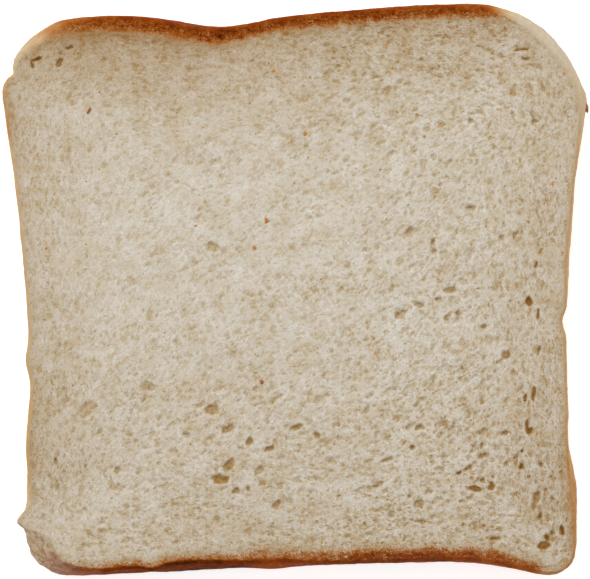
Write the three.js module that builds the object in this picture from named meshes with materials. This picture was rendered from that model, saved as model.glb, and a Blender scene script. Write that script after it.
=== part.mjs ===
// A slice of white tin bread, cut from a square-topped loaf and lying on one of its cut faces.
//
// Millimetres. The origin is on the underside, in the middle of the slice. +Z is up, through the slice,
// +Y points to the loaf's crown and +X to the loaf's right side as the upper face is seen.
//
// The slice is one baked piece. Its outline is a spline round the loaf's two shoulders and two feet, with
// the folds, pinches and tears of the crust added where they are. A closed skin is then raised on it from
// the lower cut face, up the crust and over to the upper cut face.

import * as THREE from "three";

// Overall sizes.
const HEIGHT = 114.6; // from the lowest point of the base to the highest point of the crown
const THICKNESS = 13; // between the two cut faces
const SHOULDER_WIDTH = 116.6; // across the shoulders, the widest place

// The crown.
const CREST_RUN = 1.8; // how far the crest lies inside the end of the right shoulder's curve
const BROW_FALL = 2.4; // how much the crown has fallen by the middle of the slice
const LEFT_CROWN_FALL = 2.6; // how much lower the crown's left half is than its crest
const CREASE_DEPTH = 2; // of the crease in the crown, below its left half
const CREASE_OFFSET = -14.6; // of the crease, from the middle
const CREASE_WIDTH = 26; // from one side of the crease to the other
const RIGHT_SHOULDER_RADIUS = 22.5;
const LEFT_SHOULDER_RADIUS = 16;

// The sides.
const SHOULDER_DROP = 37.6; // from the crest down to where the shoulders' swelling ends
const SHOULDER_DROP_INSET = 2.3; // how far each side has drawn in there
const WAIST_INSET = 4.4; // how far each side is drawn in at the waist
const WAIST_HEIGHT = 47; // of the waist above the base
const WAIST_OFFSET = 0.5; // how far the waist sits to the right of the shoulders
const FOOT_INSET = 3.3; // how far each side is drawn in at the base
const FOOT_OFFSET = 1.3; // how far the base sits to the right of the shoulders

// The base.
const ARCH_RISE = 2.2; // how far the middle of the base rises above its two feet
const ARCH_LEFT = 11; // where the arch begins, from the middle
const ARCH_RIGHT = 37; // where the arch ends
const RIGHT_FOOT_RADIUS = 5.5;
const LEFT_FOOT_RADIUS = 8.8;

// The crust between the two cut faces.
const CUT_EDGE_RADIUS = 0.6; // the knife leaves a slightly soft edge
const UNDERCUT = 0.5; // how far the lower cut edge is drawn in under the crust
const CRUST_LEAN = 0.4; // how far the upper cut edge is drawn in from the crust all round

// How finely the outline is cut into straight steps.
const OUTLINE_STEPS = 320;
const ARC_STATIONS = 4; // spline points on each rounded corner
const OUTLINE_SAMPLES = 4000; // for measuring along the outline

const shoulderX = SHOULDER_WIDTH / 2;
const crestX = shoulderX - RIGHT_SHOULDER_RADIUS - CREST_RUN;
const shoulderDropX = shoulderX - SHOULDER_DROP_INSET;
const shoulderDropY = HEIGHT - SHOULDER_DROP;
const waistX = shoulderX - WAIST_INSET;
const footX = shoulderX - FOOT_INSET;
const leftCrownY = HEIGHT - LEFT_CROWN_FALL;

// Local shapes of the crust. Each sits on the outline at the point nearest to (x, y), with x from the middle
// and y from the base, and fades over its reach. wall moves the whole crust outwards there, and lip moves
// only the upper cut edge, so a negative lip lets the crust show from above.
const CRUST_MARKS = [
  { name: "fold in the left shoulder", x: -shoulderX, y: leftCrownY - 10.9, reach: 1.4, wall: -1.2, lip: 0 },
  { name: "swelling of the left shoulder", x: -shoulderX, y: leftCrownY - 15, reach: 3, wall: 0.5, lip: 0 },
  { name: "skin over the left shoulder", x: 8 - shoulderX, y: leftCrownY - 3, reach: 7, wall: 0, lip: -1.8 },
  { name: "skin over the right shoulder", x: shoulderX, y: HEIGHT - 3, reach: 14, wall: 0, lip: -2.0 },
  { name: "crust behind the left crown", x: CREASE_OFFSET - 7, y: leftCrownY, reach: 8, wall: 0, lip: -0.6 },
  { name: "shred on the right shoulder", x: shoulderX, y: HEIGHT - 19.5, reach: 2.6, wall: 0.7, lip: -0.9 },
  { name: "pinch in the right side", x: waistX, y: 50.4, reach: 1.8, wall: -1.1, lip: 0.2 },
  { name: "swelling over the pinch", x: waistX, y: 55, reach: 4, wall: 0.1, lip: 0 },
  { name: "crust of the right side", x: waistX, y: 64, reach: 9, wall: 0.1, lip: -0.4 },
  { name: "hollow over the right foot", x: waistX, y: 27, reach: 6, wall: -0.5, lip: 0 },
  { name: "swelling of the right foot", x: footX, y: 17, reach: 6, wall: 0.7, lip: -1.1 },
  { name: "upper ripple of the left side", x: -waistX, y: 43, reach: 3, wall: 0.7, lip: 0 },
  { name: "hollow of the left side", x: -waistX, y: 37.5, reach: 3, wall: -0.2, lip: 0 },
  { name: "lower ripple of the left side", x: -waistX, y: 27, reach: 4, wall: 0.4, lip: 0 },
  { name: "torn flap", x: -footX, y: 11.5, reach: 2.2, wall: 0.3, lip: 3.8 },
  { name: "skin of the left foot", x: -footX, y: 2, reach: 8.5, wall: 0.5, lip: -4.0 },
  { name: "crust under the left of the base", x: -22, y: 0, reach: 17, wall: 0, lip: -1.5 },
  { name: "crack in the base crust", x: -29, y: 0, reach: 2.2, wall: -0.2, lip: 1.1 },
  { name: "tear in the base crust", x: -3, y: 0, reach: 5.5, wall: 0.5, lip: -0.9 },
  { name: "crust under the right of the base", x: 33, y: 0, reach: 11, wall: 0, lip: -0.4 },
];

// Spline points on a rounded corner, from one angle to another in degrees.
function cornerStations(centreX, centreY, radius, fromDegrees, toDegrees) {
  const stations = [];
  for (let i = 0; i <= ARC_STATIONS; i += 1) {
    const angle = THREE.MathUtils.degToRad(
      THREE.MathUtils.lerp(fromDegrees, toDegrees, i / ARC_STATIONS),
    );
    stations.push(
      new THREE.Vector3(centreX + radius * Math.cos(angle), centreY + radius * Math.sin(angle), 0),
    );
  }
  return stations;
}

// The loaf's outline without its folds, counter-clockwise from the right shoulder.
function plainOutline() {
  const footLeft = FOOT_OFFSET - footX;
  const footRight = FOOT_OFFSET + footX;
  const creaseLeft = CREASE_OFFSET - CREASE_WIDTH / 2;
  return new THREE.CatmullRomCurve3(
    [
      ...cornerStations(
        shoulderX - RIGHT_SHOULDER_RADIUS, HEIGHT - RIGHT_SHOULDER_RADIUS, RIGHT_SHOULDER_RADIUS, 8, 80,
      ),
      new THREE.Vector3(crestX, HEIGHT, 0),
      new THREE.Vector3(0, HEIGHT - BROW_FALL, 0),
      new THREE.Vector3(CREASE_OFFSET, leftCrownY - CREASE_DEPTH, 0),
      new THREE.Vector3(creaseLeft, leftCrownY - CREASE_DEPTH / 8, 0),
      ...cornerStations(
        LEFT_SHOULDER_RADIUS - shoulderX, leftCrownY - LEFT_SHOULDER_RADIUS, LEFT_SHOULDER_RADIUS, 88, 180,
      ),
      new THREE.Vector3(-shoulderDropX, shoulderDropY, 0),
      new THREE.Vector3(WAIST_OFFSET - waistX, WAIST_HEIGHT, 0),
      ...cornerStations(footLeft + LEFT_FOOT_RADIUS, LEFT_FOOT_RADIUS, LEFT_FOOT_RADIUS, 180, 270),
      new THREE.Vector3(ARCH_LEFT, ARCH_RISE, 0),
      new THREE.Vector3(ARCH_RIGHT, ARCH_RISE, 0),
      ...cornerStations(footRight - RIGHT_FOOT_RADIUS, RIGHT_FOOT_RADIUS, RIGHT_FOOT_RADIUS, -95, 0),
      new THREE.Vector3(WAIST_OFFSET + waistX, WAIST_HEIGHT, 0),
      new THREE.Vector3(shoulderDropX, shoulderDropY, 0),
    ],
    true,
    "centripetal",
  );
}

// Evenly spaced stations round the outline: each has its point, its outward direction and its lip.
function outlineStations() {
  const curve = plainOutline();
  curve.arcLengthDivisions = OUTLINE_SAMPLES;
  const points = curve.getSpacedPoints(OUTLINE_STEPS).slice(0, OUTLINE_STEPS);
  const anchors = CRUST_MARKS.map((mark) => {
    const target = new THREE.Vector3(mark.x, mark.y, 0);
    return points.reduce((best, point) =>
      point.distanceTo(target) < best.distanceTo(target) ? point : best,
    );
  });
  return points.map((point, i) => {
    const before = points[(i + OUTLINE_STEPS - 1) % OUTLINE_STEPS];
    const after = points[(i + 1) % OUTLINE_STEPS];
    const along = after.clone().sub(before).normalize();
    const outward = new THREE.Vector3(along.y, -along.x, 0);
    let wall = 0;
    let lip = -CRUST_LEAN;
    CRUST_MARKS.forEach((mark, m) => {
      const fade = Math.exp(-((point.distanceTo(anchors[m]) / mark.reach) ** 2));
      wall += mark.wall * fade;
      lip += mark.lip * fade;
    });
    return { point: point.clone().addScaledVector(outward, wall), outward, lip };
  });
}

// The rings of the skin, from the lower cut face to the upper one: their height, and how far each stands
// out from the outline as a fixed distance and as a share of the lip.
const RINGS = [
  { z: 0, out: -CUT_EDGE_RADIUS - UNDERCUT, lipShare: 0 },
  { z: CUT_EDGE_RADIUS, out: -UNDERCUT, lipShare: 0 },
  { z: THICKNESS * 0.22, out: -UNDERCUT * 0.3, lipShare: 0 },
  { z: THICKNESS * 0.42, out: 0, lipShare: 0.05 },
  { z: THICKNESS * 0.64, out: 0, lipShare: 0.3 },
  { z: THICKNESS * 0.82, out: 0, lipShare: 0.65 },
  { z: THICKNESS - CUT_EDGE_RADIUS, out: 0, lipShare: 0.95 },
  { z: THICKNESS, out: -CUT_EDGE_RADIUS, lipShare: 1 },
];

// A lathe closes the skin over the rings, from the middle of one face to the middle of the other, and each
// of its ring vertices is then moved onto the outline.
function sliceGeometry() {
  const stations = outlineStations();
  const middleY = HEIGHT / 2;
  const profile = [
    new THREE.Vector2(0, 0),
    ...RINGS.map((ring) => new THREE.Vector2(1, ring.z)),
    new THREE.Vector2(0, THICKNESS),
  ];
  const geometry = new THREE.LatheGeometry(profile, OUTLINE_STEPS);
  geometry.deleteAttribute("normal");
  geometry.deleteAttribute("uv");
  const position = geometry.getAttribute("position");
  for (let step = 0; step <= OUTLINE_STEPS; step += 1) {
    const { point, outward, lip } = stations[step % OUTLINE_STEPS];
    const firstVertex = step * profile.length;
    position.setXYZ(firstVertex, 0, middleY, 0);
    RINGS.forEach((ring, r) => {
      const out = ring.out + ring.lipShare * lip;
      position.setXYZ(firstVertex + 1 + r, point.x + outward.x * out, point.y + outward.y * out, ring.z);
    });
    position.setXYZ(firstVertex + profile.length - 1, 0, middleY, THICKNESS);
  }
  // The origin goes to the middle of the underside.
  geometry.computeBoundingBox();
  const middle = geometry.boundingBox.getCenter(new THREE.Vector3());
  geometry.translate(-middle.x, -middle.y, 0);
  geometry.computeVertexNormals();
  return geometry;
}

const bakedCrumb = new THREE.MeshStandardMaterial({
  name: "white bread",
  color: 0xcabfad,
  roughness: 0.95,
  metalness: 0,
});

const breadSlice = new THREE.Mesh(sliceGeometry(), bakedCrumb);
breadSlice.name = "bread_slice";

const slice = new THREE.Group();
slice.add(breadSlice);

export default slice;
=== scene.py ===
"""A slice of white tin bread, lying on one of its cut faces.

The slice's outline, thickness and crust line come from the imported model. This script gives it its crumb,
its baked crust and the toasted crumbs that cling to it, and puts it on a pale table under soft light.
"""

import logging
import math
from dataclasses import dataclass, field
from enum import Enum
from typing import Any

import bpy
import numpy as np
from mathutils import Matrix, Vector


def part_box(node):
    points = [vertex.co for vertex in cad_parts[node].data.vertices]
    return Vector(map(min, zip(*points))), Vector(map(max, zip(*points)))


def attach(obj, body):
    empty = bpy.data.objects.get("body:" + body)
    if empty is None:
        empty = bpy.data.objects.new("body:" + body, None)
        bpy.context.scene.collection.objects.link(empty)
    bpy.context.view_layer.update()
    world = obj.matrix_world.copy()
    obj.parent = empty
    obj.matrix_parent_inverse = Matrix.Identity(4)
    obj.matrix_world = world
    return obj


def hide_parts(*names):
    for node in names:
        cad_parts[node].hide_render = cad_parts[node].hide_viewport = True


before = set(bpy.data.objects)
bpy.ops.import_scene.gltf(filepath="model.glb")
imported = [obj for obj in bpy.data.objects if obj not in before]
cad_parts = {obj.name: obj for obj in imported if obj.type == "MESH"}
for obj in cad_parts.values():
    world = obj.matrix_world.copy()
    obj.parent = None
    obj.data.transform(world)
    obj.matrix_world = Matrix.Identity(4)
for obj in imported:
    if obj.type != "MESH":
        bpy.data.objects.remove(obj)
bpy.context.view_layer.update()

LOG = logging.getLogger("bread")
NODE = "bread_slice"
BODY = "root"
MM = 0.001  # metres in a millimetre
AIM = 0.7  # how high the camera and the lamp are aimed, as a share of the slice's thickness


# ---------------------------------------------------------------------------------------------------------
# Small helpers
# ---------------------------------------------------------------------------------------------------------


def linear(hex_colour: str, alpha: float = 1.0) -> tuple[float, float, float, float]:
    """Turn an sRGB hex colour into the linear colour that shaders take.

    Args:
        hex_colour: six hex digits, with or without a leading #.
        alpha: opacity of the result.

    Returns:
        Linear red, green, blue and alpha.
    """
    digits = hex_colour.lstrip("#")
    channels = [int(digits[i : i + 2], 16) / 255 for i in (0, 2, 4)]
    bright = [c / 12.92 if c <= 0.04045 else ((c + 0.055) / 1.055) ** 2.4 for c in channels]
    return bright[0], bright[1], bright[2], alpha


def add_node(
    tree: bpy.types.NodeTree,
    kind: str,
    sockets: dict[str | int, Any] | None = None,
    take: str | int = 0,
    **settings: Any,
) -> bpy.types.NodeSocket | None:
    """Add a shader node with its settings and links.

    Args:
        tree: the tree that gets the node.
        kind: the node's type name, without ShaderNode.
        sockets: for each input, by name or number, a value or the output that feeds it.
        take: which of the node's outputs to hand back.
        **settings: properties of the node itself.

    Returns:
        One output of the new node, or nothing where it has none.
    """
    node = tree.nodes.new("ShaderNode" + kind)
    for name, value in settings.items():
        setattr(node, name, value)
    for key, value in (sockets or {}).items():
        if isinstance(value, bpy.types.NodeSocket):
            tree.links.new(value, node.inputs[key])
        else:
            node.inputs[key].default_value = value
    return node.outputs[take] if len(node.outputs) else None


def smooth_step(low: float, high: float, values: np.ndarray) -> np.ndarray:
    """Rise smoothly from 0 at low to 1 at high, or fall where low is the larger.

    Args:
        low: where the result is 0.
        high: where the result is 1.
        values: the numbers to grade.

    Returns:
        An array of the same shape, from 0 to 1.
    """
    t = np.clip((values - low) / (high - low), 0.0, 1.0)
    return t * t * (3.0 - 2.0 * t)


class Noise:
    """Smooth seeded noise in millimetres, from 0 to 1."""

    SIDE = 32  # points along each side of the repeating lattice
    SHIFT = 7.3  # between the samples of one octave and the next, in millimetres

    def __init__(self, seed: int) -> None:
        """Fill the lattice.

        Args:
            seed: the number that fixes the pattern.
        """
        self.lattice = np.random.default_rng(seed).random((self.SIDE,) * 3).astype(np.float32)

    def at(self, points: np.ndarray, grain: float | tuple[float, float, float]) -> np.ndarray:
        """Sample one octave.

        Args:
            points: positions in millimetres, one row of three each.
            grain: the size of the noise's lumps, in millimetres.

        Returns:
            One number for each point.
        """
        scaled = points / np.asarray(grain, dtype=np.float32)
        whole = np.floor(scaled)
        part = (scaled - whole).astype(np.float32)
        part = part * part * (3.0 - 2.0 * part)
        low = whole.astype(np.int32) % self.SIDE
        high = (low + 1) % self.SIDE
        total = np.zeros(len(points), dtype=np.float32)
        for corner in range(8):
            index, weight = [], np.ones(len(points), dtype=np.float32)
            for axis in range(3):
                up = bool(corner >> axis & 1)
                index.append((high if up else low)[:, axis])
                weight = weight * (part[:, axis] if up else 1.0 - part[:, axis])
            total += weight * self.lattice[tuple(index)]
        return total

    def fractal(self, points: np.ndarray, grain: float, octaves: int) -> np.ndarray:
        """Sum octaves, each half the size and half the strength of the last, to a mean of 0.

        Args:
            points: positions in millimetres.
            grain: the size of the largest lumps, in millimetres.
            octaves: how many sizes of lump there are.

        Returns:
            One number for each point, mostly from -0.5 to 0.5.
        """
        total = np.zeros(len(points), dtype=np.float32)
        for octave in range(octaves):
            total += (self.at(points + self.SHIFT * octave, grain / 2**octave) - 0.5) / 2**octave
        return total


# ---------------------------------------------------------------------------------------------------------
# The slice's plan
# ---------------------------------------------------------------------------------------------------------


@dataclass(frozen=True)
class Outline:
    """The edge of one cut face, seen from above: a closed polygon in millimetres, counter-clockwise."""

    corners: np.ndarray

    CHUNK = 8192  # points measured at once
    LEVEL = 0.02  # a point this near to a face's height is on it
    INNER = 0.5  # no point of the edge is nearer to the middle than this share of the farthest

    @classmethod
    def of_face(cls, places: np.ndarray, height: float) -> "Outline":
        """Read the edge of a flat face from the points of a mesh.

        Args:
            places: the mesh's points, in millimetres.
            height: the face's height.

        Returns:
            The face's outline.
        """
        flat = places[np.abs(places[:, 2] - height) < cls.LEVEL][:, :2]
        radius = np.hypot(flat[:, 0], flat[:, 1])
        edge = flat[radius > cls.INNER * radius.max()]
        order = np.argsort(np.arctan2(edge[:, 1], edge[:, 0]))
        return cls(edge[order].astype(np.float32))

    @property
    def perimeter(self) -> float:
        """The length all round."""
        return float(np.hypot(*(np.roll(self.corners, -1, axis=0) - self.corners).T).sum())

    def locate(self, plan: np.ndarray) -> tuple[np.ndarray, np.ndarray, np.ndarray]:
        """Measure points against the outline.

        Args:
            plan: positions in millimetres, one row of x and y each.

        Returns:
            For each point, its distance inwards (negative outside), the arc position of the nearest place
            on the outline, and that place's direction as an angle.
        """
        edges = np.roll(self.corners, -1, axis=0) - self.corners
        lengths = np.hypot(edges[:, 0], edges[:, 1])
        ways = edges / lengths[:, None]
        starts = np.concatenate([[0.0], np.cumsum(lengths)[:-1]])
        inwards, arcs, turns = np.empty(len(plan)), np.empty(len(plan)), np.empty(len(plan))
        for begin in range(0, len(plan), self.CHUNK):
            chunk = plan[begin : begin + self.CHUNK].astype(np.float32)
            x = chunk[:, 0, None] - self.corners[None, :, 0]
            y = chunk[:, 1, None] - self.corners[None, :, 1]
            along = x * ways[:, 0] + y * ways[:, 1]
            across = y * ways[:, 0] - x * ways[:, 1]
            over = along - np.clip(along, 0.0, lengths)
            best = (across * across + over * over).argmin(1)
            rows = np.arange(len(best))
            span = slice(begin, begin + len(best))
            gap = np.hypot(across[rows, best], over[rows, best])
            inwards[span] = np.where(across[rows, best] >= 0, gap, -gap)
            arcs[span] = starts[best] + np.clip(along[rows, best], 0.0, lengths[best])
            turns[span] = np.arctan2(ways[best, 1], ways[best, 0])
        return inwards, arcs, turns


@dataclass(frozen=True)
class Grid:
    """Values at the points of a square grid over the slice, in millimetres."""

    left: float
    low: float
    pitch: float
    layers: dict[str, np.ndarray]

    LAST = 1.001  # a little more than one step, which keeps a reading short of the last row and column

    def read(self, name: str, plan: np.ndarray) -> np.ndarray:
        """Read one layer between its points.

        Args:
            name: the layer.
            plan: positions in millimetres.

        Returns:
            One value for each position.
        """
        layer = self.layers[name]
        column = np.clip((plan[:, 0] - self.left) / self.pitch, 0, layer.shape[1] - self.LAST)
        row = np.clip((plan[:, 1] - self.low) / self.pitch, 0, layer.shape[0] - self.LAST)
        i, j = column.astype(int), row.astype(int)
        u, v = column - i, row - j
        near = layer[j, i] * (1 - u) + layer[j, i + 1] * u
        far = layer[j + 1, i] * (1 - u) + layer[j + 1, i + 1] * u
        return near * (1 - v) + far * v


@dataclass(frozen=True)
class CrustPlace:
    """How the crust is baked at one place round the loaf.

    wall is how dark the crust's outside is and rim how dark its cut edge is, from 0 for raw crumb to 1 for
    burnt. bake is how far the browning reaches into the cut face, in millimetres. The value after bake is
    how tan the crumb behind it is, partly the oven's tint and partly painted shade that darkens it towards
    the edges, and reach how far that goes. flour is how much flour and how many wrinkles there are.
    """

    x: float
    y: float
    wall: float
    rim: float
    bake: float
    tan_and_edge_shade: float
    reach: float
    flour: float = 0.0


@dataclass(frozen=True)
class Crust:
    """The baking of the crust all round: dark at crown and base, golden at the sides, pale at corners."""

    places: tuple[CrustPlace, ...] = tuple(
        CrustPlace(*row)
        for row in (
            # right side, from the middle up
            (55.0, 2.0, 0.33, 0.16, 0.9, 0.16, 14.0),
            (55.6, 15.0, 0.31, 0.16, 0.9, 0.17, 14.0),
            (57.0, 30.0, 0.30, 0.18, 0.9, 0.17, 14.0),
            (57.6, 40.0, 0.20, 0.14, 0.9, 0.18, 12.0, 0.2),
            # right shoulder and crown
            (52.0, 50.0, 0.10, 0.10, 1.0, 0.22, 11.0, 0.3),
            (45.0, 55.0, 0.16, 0.16, 1.2, 0.28, 12.0, 0.2),
            (41.5, 56.6, 0.42, 0.46, 1.8, 0.34, 12.0),
            (38.0, 57.0, 0.64, 0.62, 2.5, 0.36, 13.0),
            (24.0, 57.0, 0.70, 0.68, 2.8, 0.36, 13.0),
            (8.0, 55.6, 0.72, 0.70, 2.7, 0.36, 13.0),
            (-8.0, 53.6, 0.72, 0.70, 2.7, 0.36, 13.0),
            (-15.0, 52.8, 0.76, 0.74, 2.9, 0.40, 13.0),
            (-26.0, 54.4, 0.76, 0.68, 3.2, 0.50, 13.0),
            (-38.0, 54.6, 0.70, 0.68, 3.2, 0.54, 12.0),
            (-44.0, 53.6, 0.62, 0.60, 3.0, 0.54, 12.0),
            (-48.5, 52.2, 0.48, 0.44, 2.2, 0.46, 12.0),
            # left shoulder and side
            (-51.5, 50.0, 0.34, 0.20, 1.4, 0.38, 12.0, 0.2),
            (-56.0, 46.0, 0.22, 0.12, 0.9, 0.28, 11.0, 0.3),
            (-57.8, 42.0, 0.32, 0.26, 1.2, 0.26, 10.0),
            (-58.4, 36.0, 0.40, 0.32, 1.4, 0.24, 10.0),
            (-56.9, 31.5, 0.42, 0.32, 1.3, 0.22, 10.0),
            (-56.3, 27.5, 0.28, 0.14, 0.9, 0.17, 11.0),
            (-55.4, 18.0, 0.27, 0.12, 0.9, 0.17, 11.0),
            (-54.0, 4.0, 0.27, 0.14, 0.9, 0.16, 10.0),
            (-53.4, -10.0, 0.28, 0.16, 0.9, 0.17, 10.0),
            (-53.8, -30.0, 0.34, 0.22, 1.1, 0.23, 10.0),
            (-54.0, -38.0, 0.33, 0.20, 0.9, 0.22, 9.0),
            # left foot
            (-54.6, -43.0, 0.20, 0.10, 0.7, 0.12, 5.0, 0.4),
            (-54.8, -47.0, 0.30, 0.10, 0.7, 0.08, 4.0, 0.7),
            (-52.0, -52.8, 0.46, 0.10, 0.7, 0.08, 4.0, 0.9),
            (-48.0, -56.5, 0.70, 0.24, 0.8, 0.10, 5.0, 0.5),
            (-44.0, -57.2, 0.76, 0.40, 1.2, 0.12, 6.0, 0.2),
            # base
            (-38.0, -57.2, 0.80, 0.47, 1.8, 0.12, 7.0),
            (-32.0, -56.9, 0.84, 0.49, 2.0, 0.12, 8.0),
            (-22.0, -56.6, 0.92, 0.50, 1.7, 0.14, 8.0),
            (-12.0, -56.1, 0.86, 0.50, 2.2, 0.14, 8.0),
            (-4.0, -55.9, 0.74, 0.52, 3.0, 0.14, 8.0),
            (6.0, -55.4, 0.76, 0.58, 2.8, 0.15, 8.0, 0.03),
            (16.0, -54.6, 0.86, 0.72, 2.7, 0.15, 8.0, 0.03),
            (28.0, -54.8, 0.78, 0.67, 2.7, 0.16, 8.0, 0.03),
            (40.0, -55.2, 0.72, 0.63, 2.6, 0.17, 8.0, 0.03),
            (47.5, -56.6, 0.64, 0.58, 2.3, 0.18, 8.0, 0.03),
            # right foot and side
            (51.0, -57.0, 0.52, 0.30, 1.4, 0.18, 6.0, 0.25),
            (54.5, -55.5, 0.46, 0.24, 1.0, 0.18, 7.0, 0.25),
            (56.4, -51.0, 0.42, 0.32, 1.6, 0.20, 10.0),
            (56.6, -44.0, 0.45, 0.34, 2.0, 0.22, 13.0),
            (55.4, -34.0, 0.40, 0.30, 1.8, 0.18, 14.0),
            (54.6, -22.0, 0.34, 0.20, 1.0, 0.17, 14.0),
            (54.2, -10.0, 0.33, 0.16, 0.9, 0.16, 14.0),
        )
    )

    VALUES = ("wall", "rim", "bake", "tan_and_edge_shade", "reach", "flour")

    def at(self, outline: Outline, arcs: np.ndarray) -> dict[str, np.ndarray]:
        """Read the baking at places round an outline.

        Args:
            outline: the outline that the arc positions belong to.
            arcs: arc positions in millimetres.

        Returns:
            Each of a crust place's values, for each arc position.
        """
        _, stations, _ = outline.locate(np.array([(p.x, p.y) for p in self.places]))
        order = np.argsort(stations)
        return {
            name: np.interp(
                arcs,
                stations[order],
                np.array([getattr(p, name) for p in self.places])[order],
                period=outline.perimeter,
            )
            for name in self.VALUES
        }


@dataclass(frozen=True)
class Stretch:
    """Which way the gas cells are drawn out: along the nearest crust, and aslant in the loaf's middle."""

    reach: float = 15.0  # how far the crust's direction is felt, in millimetres
    middle_turn: float = math.radians(32.0)
    middle_pull: float = 0.5

    LIES = (0.0, 45.0, 90.0, 135.0)  # degrees of the directions that the crumb is shared out between
    WANDER = 0.9  # how far noise turns the crumb, in radians for a noise of 1

    def flow(self, inwards: np.ndarray, along: np.ndarray) -> np.ndarray:
        """Find the cells' direction.

        Args:
            inwards: each place's distance from the crust, in millimetres.
            along: the direction of the crust nearest to it.

        Returns:
            A complex number for each place, at twice the cells' angle.
        """
        pull = np.exp(-np.clip(inwards, 0.0, None) / self.reach)
        return pull * np.exp(2j * along) + (1.0 - pull) * self.middle_pull * np.exp(2j * self.middle_turn)

    @classmethod
    def shares(cls, turns: np.ndarray, wander: np.ndarray) -> np.ndarray:
        """Share each place out between cells that lie level, aslant and upright.

        Args:
            turns: the cells' direction at each place.
            wander: noise that makes the borders between the three irregular.

        Returns:
            Three shares for each place, which sum to 1.
        """
        degrees = np.degrees(turns + cls.WANDER * wander)
        level, aslant, upright, back = (
            np.clip(1.0 - np.abs((degrees - lie + 90.0) % 180.0 - 90.0) / cls.LIES[1], 0.0, 1.0)
            for lie in cls.LIES
        )
        three = np.stack([level + back / 2, aslant, upright + back / 2], axis=1) ** 2
        return three / three.sum(1, keepdims=True)


@dataclass(frozen=True)
class Shade:
    """A soft round patch where the crumb is tanner (or, below 0, paler): partly the crumb's own tone,
    partly painted shade that darkens the crumb towards the edges. Lengths are in millimetres.
    """

    x: float
    y: float
    radius: float
    amount: float


CRUMB_SHADES = tuple(
    Shade(*row)
    for row in (
        (-38.0, 42.0, 18.0, 0.05), (42.0, -38.0, 18.0, 0.05), (0.0, -44.0, 26.0, 0.04),
        (-42.0, -40.0, 22.0, 0.04), (-5.0, -22.0, 24.0, 0.03), (0.0, 40.0, 20.0, 0.02),
        (-26.0, 16.0, 20.0, -0.02), (8.0, 12.0, 24.0, -0.02), (30.0, -14.0, 12.0, -0.03),
    )
)


@dataclass(frozen=True)
class CutPlan:
    """What the crust does to one cut face and the wall beside it, drawn as a grid."""

    outline: Outline
    crust: Crust
    stretch: Stretch
    pitch: float = 0.4  # of the grid's points
    margin: float = 3.0  # of the grid beyond the face

    def grid(self) -> Grid:
        """Measure every point of the grid.

        Returns:
            The distance inwards, the crust's values and the cells' flow.
        """
        low = self.outline.corners.min(0) - self.margin
        high = self.outline.corners.max(0) + self.margin
        xs, ys = (np.arange(low[a], high[a] + self.pitch, self.pitch) for a in (0, 1))
        x, y = np.meshgrid(xs, ys)
        inwards, arcs, along = self.outline.locate(np.stack([x.ravel(), y.ravel()], axis=1))
        flow = self.stretch.flow(inwards, along)
        layers = {"inwards": inwards, "flow_x": flow.real, "flow_y": flow.imag}
        layers |= self.crust.at(self.outline, arcs)
        layers["shade"] = sum(
            patch.amount * np.exp(-((x - patch.x) ** 2 + (y - patch.y) ** 2) / patch.radius**2)
            for patch in CRUMB_SHADES
        )
        layers = {name: layer.reshape(x.shape) for name, layer in layers.items()}
        return Grid(float(xs[0]), float(ys[0]), self.pitch, layers)


# ---------------------------------------------------------------------------------------------------------
# The crumb
# ---------------------------------------------------------------------------------------------------------


@dataclass(frozen=True)
class OpenCell:
    """A gas cell that the knife opened. Lengths are in millimetres and the turn is in degrees."""

    x: float
    y: float
    length: float
    width: float
    turn: float = 0.0
    depth: float = 0.9


@dataclass(frozen=True)
class CellLayer:
    """A size of small gas cell scattered over a cut face. Lengths are in millimetres."""

    pitch: float  # between neighbours
    length: tuple[float, float]
    width: tuple[float, float]
    depth: tuple[float, float]
    share: float  # of the places that hold a cell


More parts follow.
